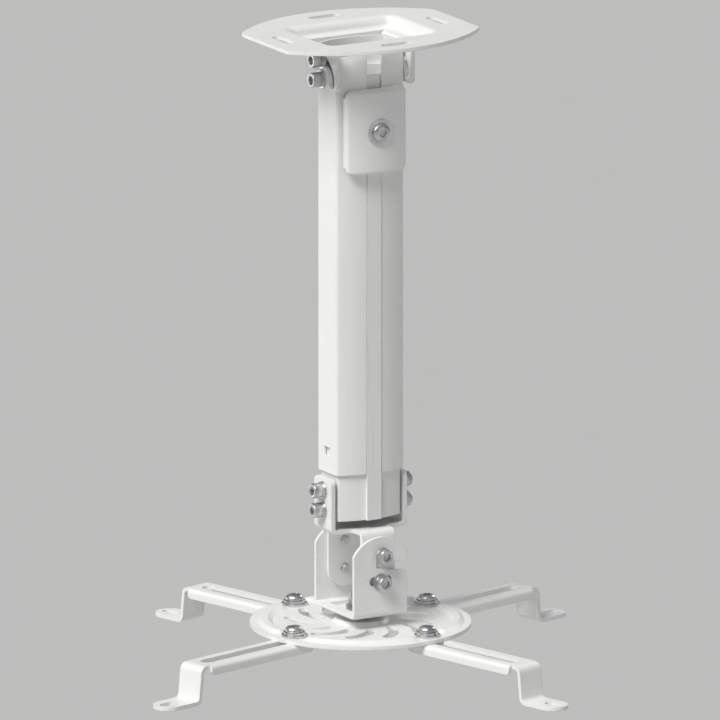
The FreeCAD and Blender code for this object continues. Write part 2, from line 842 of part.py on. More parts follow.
def make_yoke():
    """U-shaped sheet with hooked ears and a pressed recess in its base."""
    under_z = yoke_base_z - yoke_sheet
    arch_z = tilt_z - yoke_arch_down
    top_z = arch_z + yoke_arch_radius
    path = [(-yoke_outer_y, top_z), (-yoke_outer_y, under_z),
            (yoke_outer_y, under_z), (yoke_outer_y, top_z)]
    yoke = prism_along_x(sheet_section(path, yoke_sheet, yoke_bend), -yoke_half_x, yoke_half_x)
    arch = rod(yoke_arch_radius, V(0, -yoke_outer_y, arch_z), V(0, yoke_outer_y, arch_z))
    arch = arch.fuse(block(-yoke_half_x, yoke_half_x, -yoke_outer_y, yoke_outer_y,
                           under_z, arch_z))
    yoke = yoke.common(arch)
    yoke = yoke.cut(hook_notch()).removeSplitter()
    fall, lip_z, sill_z = hook_edges()
    for height, radius in ((lip_z, hook_tip_radius), (sill_z, hook_sill_corner)):
        corner = V(yoke_half_x, 0, height - yoke_half_x * fall)

        def at_corner(point):
            return math.hypot(point.x - corner.x, point.z - corner.z) < same_place

        yoke = yoke.makeFillet(radius, edges_along(yoke, Y_WAY, at_corner))
    swing = tilt_range + tilt_slot_play
    travel = arc_slot(tilt_bolt_spacing, small_thread + screw_play, straight_down - swing,
                      straight_down + swing, -yoke_outer_y - overrun, yoke_outer_y + overrun)
    travel.rotate(ORIGIN, X_WAY, 90)
    travel.translate(V(0, 0, tilt_z))
    yoke = yoke.cut(travel)
    floor_low_z = recess_floor_z - yoke_sheet
    outside = rectangle(recess_half_x + recess_wall, recess_half_y + recess_wall,
                        recess_corner + recess_wall)
    yoke = yoke.fuse(prism(outside, floor_low_z, yoke_base_z))
    yoke = yoke.cut(prism(rectangle(recess_half_x, recess_half_y, recess_corner),
                          recess_floor_z, yoke_base_z + overrun))
    hole = rod((swivel_thread + screw_play) / 2, V(0, 0, floor_low_z), V(0, 0, yoke_base_z))
    return yoke.cut(hole).removeSplitter()


def make_swivel():
    """Bolt, washers, bush and nut that hold the round plate under the yoke."""
    bore = swivel_thread + 2 * turn_gap
    head_z = recess_floor_z + swivel_washer_sheet
    low_washer_z = disc_top_z + boss_height - disc_sheet - turn_gap
    nut_z = low_washer_z - swivel_low_washer_sheet
    length = head_z - nut_z + swivel_nut_height + swivel_bolt_spare
    bolt = cap_screw(swivel_thread, swivel_head, swivel_head_height, swivel_key, length,
                     swivel_head_edge)
    export("swivel_bolt", placed(bolt, V(0, 0, head_z)))
    export("swivel_washer", ring(swivel_washer, bore, swivel_washer_sheet,
                                 V(0, 0, recess_floor_z)))
    export("swivel_bush", ring(swivel_bush, bore, swivel_bush_length,
                               V(0, 0, bush_top_z - swivel_bush_length)))
    export("swivel_low_washer", ring(swivel_low_washer, bore, swivel_low_washer_sheet,
                                     V(0, 0, nut_z)))
    lock = nut(swivel_nut_flats, swivel_thread, swivel_nut_height)
    lock.rotate(ORIGIN, X_WAY, 180)
    export("swivel_nut", placed(lock, V(0, 0, nut_z)))


# Round plate

def rib_form(base_half, top_half, height, base_z):
    """Raised arc with sloping sides and round ends."""
    profile = [
        (rib_radius - base_half, 0, 0),
        (rib_radius + base_half, 0, 0),
        (rib_radius + top_half, height, 0),
        (rib_radius - top_half, height, 0),
    ]
    face = Part.Face(rounded_wire(profile))
    face.rotate(ORIGIN, X_WAY, 90)
    body = face.revolve(ORIGIN, Z_WAY, 2 * rib_half_angle)
    body.rotate(ORIGIN, Z_WAY, -rib_half_angle)
    for side in (1, -1):
        turn = math.radians(side * rib_half_angle)
        centre = V(rib_radius * math.cos(turn), rib_radius * math.sin(turn), 0)
        body = body.fuse(Part.makeCone(base_half, top_half, height, centre))
    body = body.removeSplitter()
    body.translate(V(0, 0, base_z))
    return body


def swirl_slot():
    """One curved slot of the ring of slots, in the plate's own angles."""
    inner_turn = math.radians(swirl_inner_angle)
    outer_turn = math.radians(swirl_outer_angle)
    start = V(swirl_inner_radius * math.cos(inner_turn),
              swirl_inner_radius * math.sin(inner_turn), 0)
    finish = V(swirl_outer_radius * math.cos(outer_turn),
               swirl_outer_radius * math.sin(outer_turn), 0)
    chord = finish - start
    middle = (start + finish) * 0.5
    across = V(chord.y, -chord.x, 0).normalize()
    drop = math.sqrt(swirl_curve ** 2 - (chord.Length / 2) ** 2)
    centre = middle + across * drop
    first = math.degrees(math.atan2(finish.y - centre.y, finish.x - centre.x))
    last = math.degrees(math.atan2(start.y - centre.y, start.x - centre.x))
    if last < first:
        last += 360
    cut = arc_slot(swirl_curve, swirl_width, first, last, disc_low_z - overrun,
                   disc_top_z + overrun)
    cut.translate(centre)
    return cut


def make_disc():
    """Round plate with a raised boss, four raised arcs and a ring of curved slots."""
    disc = Part.makeCylinder(disc_radius, disc_sheet, V(0, 0, disc_low_z))
    disc = disc.fuse(Part.makeCone(boss_base_radius, boss_top_radius, boss_height,
                                   V(0, 0, disc_top_z)))
    disc = disc.cut(Part.makeCone(boss_base_radius - disc_sheet, boss_top_radius - disc_sheet,
                                  boss_height, V(0, 0, disc_low_z)))
    raised = rib_form(rib_base_half, rib_top_half, rib_height, disc_top_z)
    hollow = rib_form(rib_base_half - disc_sheet / 2, rib_top_half - disc_sheet / 2,
                      rib_height, disc_low_z)
    hole_radius = (arm_thread + screw_play) / 2
    for quarter in range(4):
        disc = disc.fuse(turned(raised, 90 * quarter))
        disc = disc.cut(turned(hollow, 90 * quarter))
        hole = rod(hole_radius, V(arm_screw_radius, 0, disc_low_z),
                   V(arm_screw_radius, 0, disc_top_z))
        disc = disc.cut(turned(hole, arm_first_angle + 90 * quarter))
    one_slot = swirl_slot()
    for step in range(swirl_count):
        disc = disc.cut(turned(one_slot, step * 360 / swirl_count))
    disc = disc.cut(Part.makeCylinder(swivel_thread / 2 + turn_gap, disc_sheet + boss_height,
                                      V(0, 0, disc_low_z)))
    return turned(disc.removeSplitter(), disc_turn)


# Arms, modelled along +X and then turned to their places

def make_arm():
    """Channel with a long slot, a leg folded down and a foot with a short slot."""
    half = arm_width / 2
    low_z = arm_top_z - arm_depth
    under_z = arm_top_z - arm_sheet
    path = [(half, low_z), (half, arm_top_z), (-half, arm_top_z), (-half, low_z)]
    channel = prism_along_x(sheet_section(path, arm_sheet, arm_bend),
                            arm_flange_start, arm_flange_end)
    side_view = [
        (arm_flange_start, low_z, arm_flange_corner),
        (arm_flange_end, low_z, arm_flange_corner),
        (arm_flange_end, arm_top_z, 0),
        (arm_flange_start, arm_top_z, 0),
    ]
    channel = channel.common(prism_along_y(side_view, -half, half))
    nose = Part.makeCylinder(arm_flat_half, arm_sheet, V(arm_screw_radius, 0, under_z))
    path = [(foot_reach, foot_top_z), (leg_bottom_reach, foot_top_z),
            (leg_top_reach, arm_top_z), (arm_flange_end - overrun, arm_top_z)]
    leg = prism_along_y(sheet_section(path, arm_sheet, leg_bend), -arm_flat_half, arm_flat_half)
    toe = Part.makeCylinder(arm_flat_half, arm_sheet, V(foot_reach, 0, foot_top_z - arm_sheet))
    arm = channel.fuse(nose).fuse(leg).fuse(toe).removeSplitter()
    run = arm_slot_end - arm_screw_radius
    long_slot = slot(run + arm_slot_width, arm_slot_width, under_z - overrun,
                     arm_top_z + overrun)
    arm = arm.cut(placed(long_slot, V(arm_screw_radius + run / 2, 0, 0)))
    short_slot = slot(foot_slot_length, foot_slot_width, foot_top_z - arm_sheet - overrun,
                      foot_top_z + overrun)
    return arm.cut(placed(short_slot, V(foot_reach, 0, 0)))


def make_arm_set():
    """Four arms with their screws, washers and nuts."""
    arm = make_arm()
    washer_z = disc_top_z
    spring_z = washer_z + arm_washer_sheet
    head_z = spring_z + arm_spring_sheet
    nut_z = arm_top_z - arm_sheet
    length = head_z - nut_z + arm_nut_height + arm_screw_spare
    screw = button_screw(arm_thread, arm_head, arm_head_height, arm_key, length)
    flat = ring(arm_washer, arm_thread + screw_play, arm_washer_sheet)
    split = spring_washer(arm_spring_washer, arm_thread, arm_spring_sheet)
    thin_nut = nut(arm_nut_flats, arm_thread, arm_nut_height)
    thin_nut.rotate(ORIGIN, X_WAY, 180)
    pieces = {
        "arm_screw_": placed(screw, V(arm_screw_radius, 0, head_z)),
        "arm_flat_washer_": placed(flat, V(arm_screw_radius, 0, washer_z)),
        "arm_spring_washer_": placed(split, V(arm_screw_radius, 0, spring_z)),
        "arm_nut_": placed(thin_nut, V(arm_screw_radius, 0, nut_z)),
        "arm_": arm,
    }
    for quarter, name in enumerate(arm_names):
        angle = disc_turn + arm_first_angle + 90 * quarter
        for prefix, shape in pieces.items():
            export(prefix + name, turned(shape, angle))


export("ceiling_plate", make_ceiling_plate())
export("outer_tube", make_outer_tube())
make_side_screws("column", plate_ear_outer_x, (pivot_z, pivot_z + column_screw_spacing),
                 tube_half_x, column_spacer, column_spacer_width)
export("inner_tube", make_inner_tube())
make_clamp()
export("lower_bracket", make_lower_bracket())
make_side_screws("bracket", bracket_outer_x, bracket_screw_heights(), inner_half_x,
                 bracket_spacer, small_washer)
make_tilt_bolts()
export("yoke", make_yoke())
make_swivel()
export("spider_plate", make_disc())
make_arm_set()
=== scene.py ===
import json
import math

import bpy
from mathutils import Matrix, Vector


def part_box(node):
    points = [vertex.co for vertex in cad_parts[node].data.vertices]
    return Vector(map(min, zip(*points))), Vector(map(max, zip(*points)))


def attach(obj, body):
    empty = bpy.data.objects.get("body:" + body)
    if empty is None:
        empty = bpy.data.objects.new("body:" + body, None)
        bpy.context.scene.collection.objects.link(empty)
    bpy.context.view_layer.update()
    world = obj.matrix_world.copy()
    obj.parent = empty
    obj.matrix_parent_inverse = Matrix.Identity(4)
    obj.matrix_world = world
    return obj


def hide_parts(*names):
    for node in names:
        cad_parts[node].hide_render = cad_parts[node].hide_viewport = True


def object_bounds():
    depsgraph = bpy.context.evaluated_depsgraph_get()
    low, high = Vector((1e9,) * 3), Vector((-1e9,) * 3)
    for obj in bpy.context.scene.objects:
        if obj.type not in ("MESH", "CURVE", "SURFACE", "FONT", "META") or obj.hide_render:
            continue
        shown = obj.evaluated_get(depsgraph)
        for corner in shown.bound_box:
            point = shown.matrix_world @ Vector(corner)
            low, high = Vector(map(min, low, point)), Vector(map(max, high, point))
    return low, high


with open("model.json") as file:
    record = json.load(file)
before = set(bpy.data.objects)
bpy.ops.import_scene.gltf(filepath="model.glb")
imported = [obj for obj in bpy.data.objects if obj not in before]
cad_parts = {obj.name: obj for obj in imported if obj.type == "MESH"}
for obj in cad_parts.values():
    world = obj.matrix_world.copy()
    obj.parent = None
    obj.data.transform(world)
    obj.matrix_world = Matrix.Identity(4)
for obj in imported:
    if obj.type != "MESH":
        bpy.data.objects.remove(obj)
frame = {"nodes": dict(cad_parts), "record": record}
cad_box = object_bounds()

# Telescopic projector mount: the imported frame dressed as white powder-coated
# sheet steel with zinc-plated screws, hung in a pale studio. Units are metres,
# and millimetres for the sizes of screws and nuts.

millimetre = 0.001

# Camera: the drawing is a parallel view, so a very long lens stands far away
view_azimuth = math.radians(-30.0)
view_elevation = math.radians(13.4)
view_width = 0.4752
view_centre_right = -0.00043
view_centre_up = -0.21777
lens_mm = 1500.0
sensor_mm = 36.0
clip_near = 0.1
clip_far = 4000.0

# Studio
floor_drop = 24.0
floor_reach = 1500.0
floor_colour = (0.60, 0.60, 0.60)
world_zenith = (0.97, 0.98, 1.0)
world_horizon = (0.74, 0.75, 0.77)
zenith_rise = 0.6
horizon_rise = -0.05
world_strength = 0.26
backdrop_colour = (0.34, 0.34, 0.34)
sun_azimuth = math.radians(-68.0)
sun_elevation = math.radians(50.0)
sun_strength = 2.55
sun_spread = math.radians(28.0)
sun_colour = (1.0, 0.99, 0.97)
lights = {
    "key_light": {"right": -1.5, "up": 1.1, "towards": 0.9, "size": 0.8, "power": 5.0,
                  "colour": (1.0, 0.985, 0.96)},
    "fill_light": {"right": 1.5, "up": 0.2, "towards": 1.3, "size": 1.2, "power": 1.2,
                   "colour": (0.94, 0.97, 1.0)},
    "rim_light": {"right": 1.1, "up": 1.0, "towards": -1.3, "size": 0.6, "power": 5.0,
                  "colour": (1, 1, 1)},
    "edge_light": {"right": -1.5, "up": 0.0, "towards": -1.1, "size": 0.5, "power": 2.0,
                   "colour": (1, 1, 1)},
}

# Finishes. A pattern with low and high takes that part of a noise's range and gives 0
# to 1 for it, or what out_low and out_high say
paint = {
    "light": (0.88, 0.88, 0.865),
    "dark": (0.81, 0.815, 0.81),
    "worn": (0.42, 0.42, 0.41),
    "edge_radius": 0.0006,
    "cloud": {"scale": 9.0, "detail": 2.0, "low": 0.35, "high": 0.65},
    "cloud_share": 0.35,
    "speck": {"scale": 1400.0, "detail": 2.0, "low": 0.60, "high": 0.72, "out_high": 0.5},
    "patches": {"scale": 160.0, "detail": 4.0, "roughness": 0.7, "low": 0.53, "high": 0.62},
    "worn_share": 0.55,
    "roughness": {"scale": 45.0, "low": 0.3, "high": 0.7, "out_low": 0.38, "out_high": 0.52},
    "peel": {"scale": 620.0, "detail": 2.0, "roughness": 0.5},
    "fine_peel": {"scale": 2300.0, "detail": 1.0},
    "fine_peel_share": 0.35,
    "bump_depth": 0.00016,
    "bump_strength": 0.55,
    "coat": 0.12,
    "coat_roughness": 0.28,
}
slide_scuffs = {
    "scuff": {"scale": 420.0, "detail": 2.0, "roughness": 0.5, "stretch": (1.0, 1.0, 0.012),
              "low": 0.62, "high": 0.72},
    "breaks": {"scale": 30.0, "low": 0.42, "high": 0.62},
    "share": 0.20,
}
washer_rub = {
    "scratch": {"scale": 700.0, "detail": 3.0, "roughness": 0.6, "low": 0.42, "high": 0.66},
    "share": 0.10,
}
zinc = {
    "light": (0.74, 0.74, 0.72),
    "dark": (0.50, 0.52, 0.55),
    # edge: painted highlight, a lighter colour laid along the screws' and nuts' edges
    "edge": (0.86, 0.86, 0.85),
    "edge_radius": 0.00012,
    "edge_highlight_share": 0.35,
    "cloud": {"scale": 170.0, "low": 0.35, "high": 0.68},
    "roughness": {"scale": 420.0, "detail": 4.0, "roughness": 0.65, "low": 0.3, "high": 0.7,
                  "out_low": 0.24, "out_high": 0.44},
    "marks": {"scale": 900.0, "detail": 3.0, "roughness": 0.6, "stretch": (1.0, 1.0, 5.0)},
    "bump_depth": 0.00005,
    "bump_strength": 0.30,
}
black_nylon = {
    "light": (0.055, 0.055, 0.058),
    "dark": (0.028, 0.028, 0.030),
    # edge: painted highlight, a lighter colour laid along the ring's edges
    "edge": (0.10, 0.10, 0.10),
    "edge_radius": 0.0004,
    "edge_highlight_share": 0.5,
    "cloud": {"scale": 220.0, "detail": 4.0, "roughness": 0.6, "low": 0.4, "high": 0.7},
    "roughness": {"scale": 500.0, "detail": 2.0, "low": 0.3, "high": 0.7,
                  "out_low": 0.42, "out_high": 0.60},
    "grain": {"scale": 2600.0, "detail": 2.0},
    "bump_depth": 0.00006,
    "bump_strength": 0.5,
}
floor_finish = {
    "cloud": {"scale": 0.05, "low": 0.3, "high": 0.7},
    "shade": 0.985,
    "roughness": {"scale": 6.0, "detail": 2.0, "low": 0.3, "high": 0.7,
                  "out_low": 0.78, "out_high": 0.90},
    "grain": {"scale": 0.8, "detail": 2.0},
    "bump_depth": 0.02,
    "bump_strength": 0.10,
}
bevel_samples = 4
edge_match = 0.86
track_fade = 0.9
ear_track = {"radius": 0.0134, "half_width": 0.006, "plane": (0, 1, 1)}
yoke_track = {"radius": 0.0189, "half_width": 0.006, "plane": (1, 0, 1)}

# Fasteners in millimetres, as the frame has them
small_screw = {"thread": 6.0, "pitch": 1.0, "head": 10.0, "height": 6.0, "edge": 0.8,
               "key": 5.0, "ridges": 36}
tilt_screw = {**small_screw, "height": 5.0}
swivel_screw = {"thread": 8.0, "pitch": 1.25, "head": 16.0, "height": 9.8, "edge": 1.6,
                "key": 6.0, "ridges": 48}
arm_button = {"thread": 8.0, "pitch": 1.25, "head": 12.0, "height": 3.7, "key": 5.0}
clamp_button = {"thread": 8.0, "pitch": 1.25, "head": 13.0, "height": 2.8, "key": 5.0}
small_nut = {"thread": 6.0, "flats": 10.0, "height": 5.0}
arm_nut = {"thread": 8.0, "flats": 13.0, "height": 4.0}
swivel_nut = {"thread": 8.0, "flats": 13.0, "height": 6.5}
screw_end_spare = 2.0
thread_beyond_nut = 1.5
tongue_sheet = 3.0
small_spring_sheet = 1.4
arm_names = ["rear_right", "rear_left", "front_left", "front_right"]

# Their small forms: lengths in millimetres, slopes, and shares of the thread's pitch,
# of the key, of a domed head's height or of a nut's width
around = 144
rings_per_pitch = 8
sharp_angle = math.radians(35)
thread_form = {"slack": 0.02, "depth_share": 0.6, "flat": 0.15, "flank": 0.7,
               "chamfer_share": 0.7}
socket_form = {"rim": 0.12, "slope": 0.7, "drill_share": 0.40, "drill_step": 0.25,
               "drill_point": 0.9}
knurl_form = {"depth": 0.20, "underside": 0.45, "foot": 0.3, "low": 0.55, "high": 0.35,
              "top": 0.1, "edge_steps": 5}
dome_form = {"rim_share": 0.2, "socket_share": 0.6, "flat": 0.3, "underside": 0.3,
             "foot_inset": 0.05, "foot": 0.2, "power": 1.25, "steps": 10}
nut_form = {"face_share": 0.96, "slope": math.tan(math.radians(30)), "countersink": 0.4}
collar_form = {"inset": 0.55, "height": 1.9, "step": 0.1, "edge": 0.7, "lip": 1.0,
               "seat": 0.35, "steps": 5}
ring_form = {"slack": 0.02, "foot": 0.34, "shoulder": 0.20, "top": 0.06, "chamfer": 0.15}


# Directions of the picture

def direction(azimuth, elevation):
    """Unit vector, with azimuth 0 to the front (-Y) and growing to the right."""
    return Vector((
        math.sin(azimuth) * math.cos(elevation),
        -math.cos(azimuth) * math.cos(elevation),
        math.sin(elevation),
    ))


def picture_axes():
    """Right, up and towards-the-camera directions of the drawing's view."""
    right = Vector((math.cos(view_azimuth), math.sin(view_azimuth), 0))
    towards = direction(view_azimuth, view_elevation)
    return right, towards.cross(right), towards


def aimed(place, target, up_hint=Vector((0, 0, 1))):
    """World matrix of a camera or light at a place, looking at a target."""
    back = (place - target).normalized()
    right = up_hint.cross(back).normalized()
    up = back.cross(right)
    turn = Matrix((right, up, back)).transposed().to_4x4()
    return Matrix.Translation(place) @ turn


# Objects

def add_object(name, data):
    """New object in the scene."""
    made = bpy.data.objects.new(name, data)
    bpy.context.scene.collection.objects.link(made)
    return made


def add_mesh(name, points, faces, material):
    """New mesh object of one material in the scene."""
    mesh = bpy.data.meshes.new(name)
    mesh.from_pydata(points, [], faces)
    mesh.materials.append(material)
    return add_object(name, mesh)


# Materials

class Shading:
    """Node tree of a material or world under construction."""

    def __init__(self, owner):
        owner.use_nodes = True
        self.tree = owner.node_tree

    def node(self, kind, inputs=None, **settings):
        """Adds a node with its settings and feeds its inputs."""
        made = self.tree.nodes.new(kind)
        for key, value in settings.items():
            setattr(made, key, value)
        for key, value in (inputs or {}).items():
            self.feed(value, made.inputs[key])
        return made

    def feed(self, value, socket):
        """Links another node's output to a socket, or sets the socket's own value."""
        if isinstance(value, bpy.types.NodeSocket):
            self.tree.links.new(value, socket)
        elif socket.type == "RGBA":
            socket.default_value = (*value, 1)
        else:
            socket.default_value = value

    def ramp(self, value, low, high, out_low=0.0, out_high=1.0):
        """Stretches one range of a value to another, and holds it at the ends."""
        made = self.node("ShaderNodeMapRange", {
            "Value": value, "From Min": low, "From Max": high,
            "To Min": out_low, "To Max": out_high})
        return made.outputs["Result"]

    def blend(self, share, first, second):
        """Mixes two colours, from the first at share 0 to the second at share 1."""
        made = self.node("ShaderNodeMix", {"Factor": share, "A": first, "B": second},
                         data_type="RGBA")
        return made.outputs["Result"]

    def math(self, operation, first, second):
        return self.node("ShaderNodeMath", {0: first, 1: second}, operation=operation).outputs[0]

    def times(self, first, second):
        return self.math("MULTIPLY", first, second)


class Finish(Shading):
    """Material under construction, patterned in the space of the object that wears it."""

    def __init__(self, name):
        self.material = bpy.data.materials.new(name)
        super().__init__(self.material)
        self.shader = self.tree.nodes["Principled BSDF"]

    def place(self):
        return self.node("ShaderNodeTexCoord").outputs["Object"]

    def noise(self, scale, detail=3.0, roughness=0.55, stretch=None):
        where = self.place()
        if stretch:
            where = self.node("ShaderNodeMapping", {"Vector": where, "Scale": stretch}).outputs[0]
        made = self.node("ShaderNodeTexNoise", {
            "Vector": where, "Scale": scale, "Detail": detail, "Roughness": roughness})
        return made.outputs["Fac"]

    def pattern(self, low, high, out_low=0.0, out_high=1.0, **grain):
        return self.ramp(self.noise(**grain), low, high, out_low, out_high)

    def soft_edges(self, radius):
        """Normal that rounds the edges a little, and how near an edge a point is."""
        rounded = self.node("ShaderNodeBevel", {"Radius": radius},
                            samples=bevel_samples).outputs["Normal"]
        flat = self.node("ShaderNodeNewGeometry").outputs["Normal"]
        match = self.node("ShaderNodeVectorMath", {0: rounded, 1: flat}, operation="DOT_PRODUCT")
        return rounded, self.ramp(match.outputs["Value"], 1.0, edge_match)

    def bump(self, height, depth, strength, normal=None):
        made = self.node("ShaderNodeBump", {
            "Height": height, "Distance": depth, "Strength": strength})
        if normal is not None:
            self.feed(normal, made.inputs["Normal"])
        return made.outputs["Normal"]

    def track(self, centre, radius, half_width, plane):
        """Share from 0 to 1 of a ring-shaped track, rubbed by a washer that turns about a point."""
        flat = self.node("ShaderNodeVectorMath", {0: self.place(), 1: plane},
                         operation="MULTIPLY").outputs["Vector"]
        away = self.node("ShaderNodeVectorMath", {0: flat, 1: centre},
                         operation="DISTANCE").outputs["Value"]
        off = self.math("ABSOLUTE", self.math("SUBTRACT", away, radius), 0.0)
        return self.ramp(off, half_width, half_width * track_fade)

    def finish(self, colour, roughness, normal):
        self.feed(colour, self.shader.inputs["Base Color"])
        self.feed(roughness, self.shader.inputs["Roughness"])
        self.feed(normal, self.shader.inputs["Normal"])
        return self.material


def powder_coat(name, rub=None):
    """Fine-textured white powder coat, rubbed a little along its edges and where parts slide."""
    made = Finish(name)
    rounded, edge = made.soft_edges(paint["edge_radius"])
    cloud = made.pattern(**paint["cloud"])
    speck = made.pattern(**paint["speck"])
    shade = made.math("ADD", made.times(cloud, paint["cloud_share"]), speck)
    colour = made.blend(shade, paint["light"], paint["dark"])
    patches = made.pattern(**paint["patches"])
    wear = made.times(made.times(edge, patches), paint["worn_share"])
    if rub:
        wear = made.math("MAXIMUM", wear, rub(made))
    colour = made.blend(wear, colour, paint["worn"])
    roughness = made.pattern(**paint["roughness"])
    peel = made.math("ADD", made.noise(**paint["peel"]),
                     made.times(made.noise(**paint["fine_peel"]), paint["fine_peel_share"]))
    normal = made.bump(peel, paint["bump_depth"], paint["bump_strength"], rounded)
    made.shader.inputs["Coat Weight"].default_value = paint["coat"]
    made.shader.inputs["Coat Roughness"].default_value = paint["coat_roughness"]
    return made.finish(colour, roughness, normal)


def slide_rub(made):
    """Faint upright scuffs, left by the two tubes and the clamp when the column slides."""
    scuff = made.pattern(**slide_scuffs["scuff"])
    breaks = made.pattern(**slide_scuffs["breaks"])
    return made.times(made.times(scuff, breaks), slide_scuffs["share"])


def ring_rub(centre, track):
    """Dull track of a washer that slides along a curved slot round a centre."""
    def rub(made):
        ring = made.track(centre, **track)
        scratch = made.pattern(**washer_rub["scratch"])
        return made.times(made.times(ring, scratch), washer_rub["share"])
    return rub


def zinc_plate():
    """Bright zinc plate with faint yellow and blue clouds, fine turning marks, and a painted
    highlight of lighter colour along its edges.
    """
    made = Finish("zinc_plated_steel")
    made.shader.inputs["Metallic"].default_value = 1.0
    rounded, edge = made.soft_edges(zinc["edge_radius"])
    colour = made.blend(made.pattern(**zinc["cloud"]), zinc["light"], zinc["dark"])
    # Painted highlight: the colour turns lighter near every edge
    colour = made.blend(made.times(edge, zinc["edge_highlight_share"]), colour, zinc["edge"])
    roughness = made.pattern(**zinc["roughness"])
    normal = made.bump(made.noise(**zinc["marks"]), zinc["bump_depth"], zinc["bump_strength"],
                       rounded)
    return made.finish(colour, roughness, normal)


def nylon():
    """Moulded black nylon with a faint grain, rubbed patches, and a painted highlight of lighter
    colour along its edges.
    """
    look = black_nylon
    made = Finish("black_nylon")
    rounded, edge = made.soft_edges(look["edge_radius"])
    colour = made.blend(made.pattern(**look["cloud"]), look["dark"], look["light"])
    # Painted highlight: the colour turns lighter near every edge
    colour = made.blend(made.times(edge, look["edge_highlight_share"]), colour, look["edge"])
    roughness = made.pattern(**look["roughness"])
    normal = made.bump(made.noise(**look["grain"]), look["bump_depth"], look["bump_strength"],
                       rounded)
    return made.finish(colour, roughness, normal)


def floor_paint():
    """Pale matt studio floor with a very faint cloudiness."""
    look = floor_finish
    made = Finish("studio_floor")
    colour = made.blend(made.pattern(**look["cloud"]), floor_colour,
                        tuple(channel * look["shade"] for channel in floor_colour))
    roughness = made.pattern(**look["roughness"])
    normal = made.bump(made.noise(**look["grain"]), look["bump_depth"], look["bump_strength"])
    return made.finish(colour, roughness, normal)


# Turned shapes, in millimetres round the Z axis

class Turned:
    """Closed mesh built from rings of points round the Z axis."""

    def __init__(self):
        self.points = []
        self.faces = []
        self.ring_starts = []

    def start(self, height):
        """Begins with one point on the axis."""
        self.points.append((0, 0, height))

    def ring(self, radius, height):
        """Adds a ring. Its radius and height are numbers, or depend on the angle."""
        first = len(self.points)
        for i in range(around):
            turn = 2 * math.pi * i / around
            reach = radius(turn) if callable(radius) else radius
            rise = height(turn) if callable(height) else height
            self.points.append((reach * math.cos(turn), reach * math.sin(turn), rise))
        if self.ring_starts:
            self.skin(self.ring_starts[-1], first)
        elif first:
            for i in range(around):
                self.faces.append((0, first + (i + 1) % around, first + i))
        self.ring_starts.append(first)

    def skin(self, low, high):
        """Faces between two rings, given by their first points."""
        for i in range(around):
            following = (i + 1) % around
            self.faces.append((low + i, low + following, high + following, high + i))

    def close(self, height):
        """Ends in one point on the axis."""
        last = self.ring_starts[-1]
        centre = len(self.points)
        self.points.append((0, 0, height))
        for i in range(around):
            self.faces.append((last + i, last + (i + 1) % around, centre))

    def join(self):
        """Joins the last ring to the first, as in a ring with a bore."""
        self.skin(self.ring_starts[-1], self.ring_starts[0])


def quarter_turns(steps):
    """Angles from 0 to 90 degrees in even steps, both ends included."""
    return [math.radians(90 * step / steps) for step in range(steps + 1)]


def hexagon(flats):
    """Radius of a hexagon as it depends on the angle."""
    sixth = math.pi / 3
    return lambda turn: flats / 2 / math.cos((turn + sixth / 2) % sixth - sixth / 2)


def corner_radius(flats):
    """Radius of the circle through a hexagon's corners."""
    return flats / math.sqrt(3)


def thread_radius(crest, pitch, height):
    """Radius of a right-hand thread at one height as it depends on the angle."""
    depth = thread_form["depth_share"] * pitch

    def radius(turn):
        along = (height / pitch - turn / (2 * math.pi)) % 1.0
        rise = (abs(2 * along - 1) - thread_form["flat"]) / thread_form["flank"]
        return crest - depth * (1 - min(max(rise, 0.0), 1.0))
    return radius


def add_shank(made, size, length, threaded):
    """Shank from its chamfered end up to the seat at z = 0, threaded over its last part."""
    pitch = size["pitch"]
    crest = size["thread"] / 2 - thread_form["slack"]
    step = pitch / rings_per_pitch
    made.start(-length)
    for count in range(int(threaded / step) + 1):
        height = count * step
        limit = crest - thread_form["chamfer_share"] * pitch + height
        follow = thread_radius(crest, pitch, height)
        made.ring(lambda turn: min(limit, follow(turn)), height - length)
    made.ring(crest, threaded + pitch / 2 - length)
    made.ring(crest, 0)


def add_socket(made, key, top, depth):
    """Hexagonal socket with a countersunk mouth and a drilled floor."""
    mouth = corner_radius(key) + socket_form["rim"]
    outline = hexagon(key)
    made.ring(mouth, top)
    made.ring(outline, lambda turn: top - (mouth - outline(turn)) * socket_form["slope"])
    made.ring(outline, top - depth)
    made.ring(key * socket_form["drill_share"], top - depth - socket_form["drill_step"])
    made.close(top - depth - socket_form["drill_point"])


def cap_screw(size, length, threaded):
    """Socket cap screw with a knurled head, seated on z = 0."""
    made = Turned()
    add_shank(made, size, length, threaded)
    full = size["head"] / 2
    depth = knurl_form["depth"]
    height = size["height"]
    edge = size["edge"]

    def knurl(turn):
        return full - depth * (0.5 - 0.5 * math.cos(size["ridges"] * turn))

    made.ring(full - knurl_form["underside"], 0)
    made.ring(full - depth, knurl_form["foot"])
    made.ring(knurl, knurl_form["low"])
    made.ring(knurl, height - edge - knurl_form["high"])
    made.ring(full - depth, height - edge - knurl_form["top"])
    for turn in quarter_turns(knurl_form["edge_steps"])[1:]:
        made.ring(full - depth - (edge - depth) * (1 - math.cos(turn)),
                  height - edge + edge * math.sin(turn))
    add_socket(made, size["key"], height, height / 2)
    return made


def button_screw(size, length, threaded):
    """Socket screw with a low domed head, seated on z = 0."""
    made = Turned()
    add_shank(made, size, length, threaded)
    full = size["head"] / 2
    height = size["height"]
    rim = dome_form["rim_share"] * height
    rise = height - rim
    top = corner_radius(size["key"]) + dome_form["flat"]
    made.ring(full - dome_form["underside"], 0)
    made.ring(full - dome_form["foot_inset"], dome_form["foot"])
    for turn in quarter_turns(dome_form["steps"]):
        made.ring(top + (full - top) * math.cos(turn) ** dome_form["power"],
                  rim + rise * math.sin(turn))
    add_socket(made, size["key"], height, dome_form["socket_share"] * height)
    return made


def bore_radius(size):
    """Radius of a nut's bore, a little wider than the screw's thread."""
    return size["thread"] / 2 + thread_form["slack"]


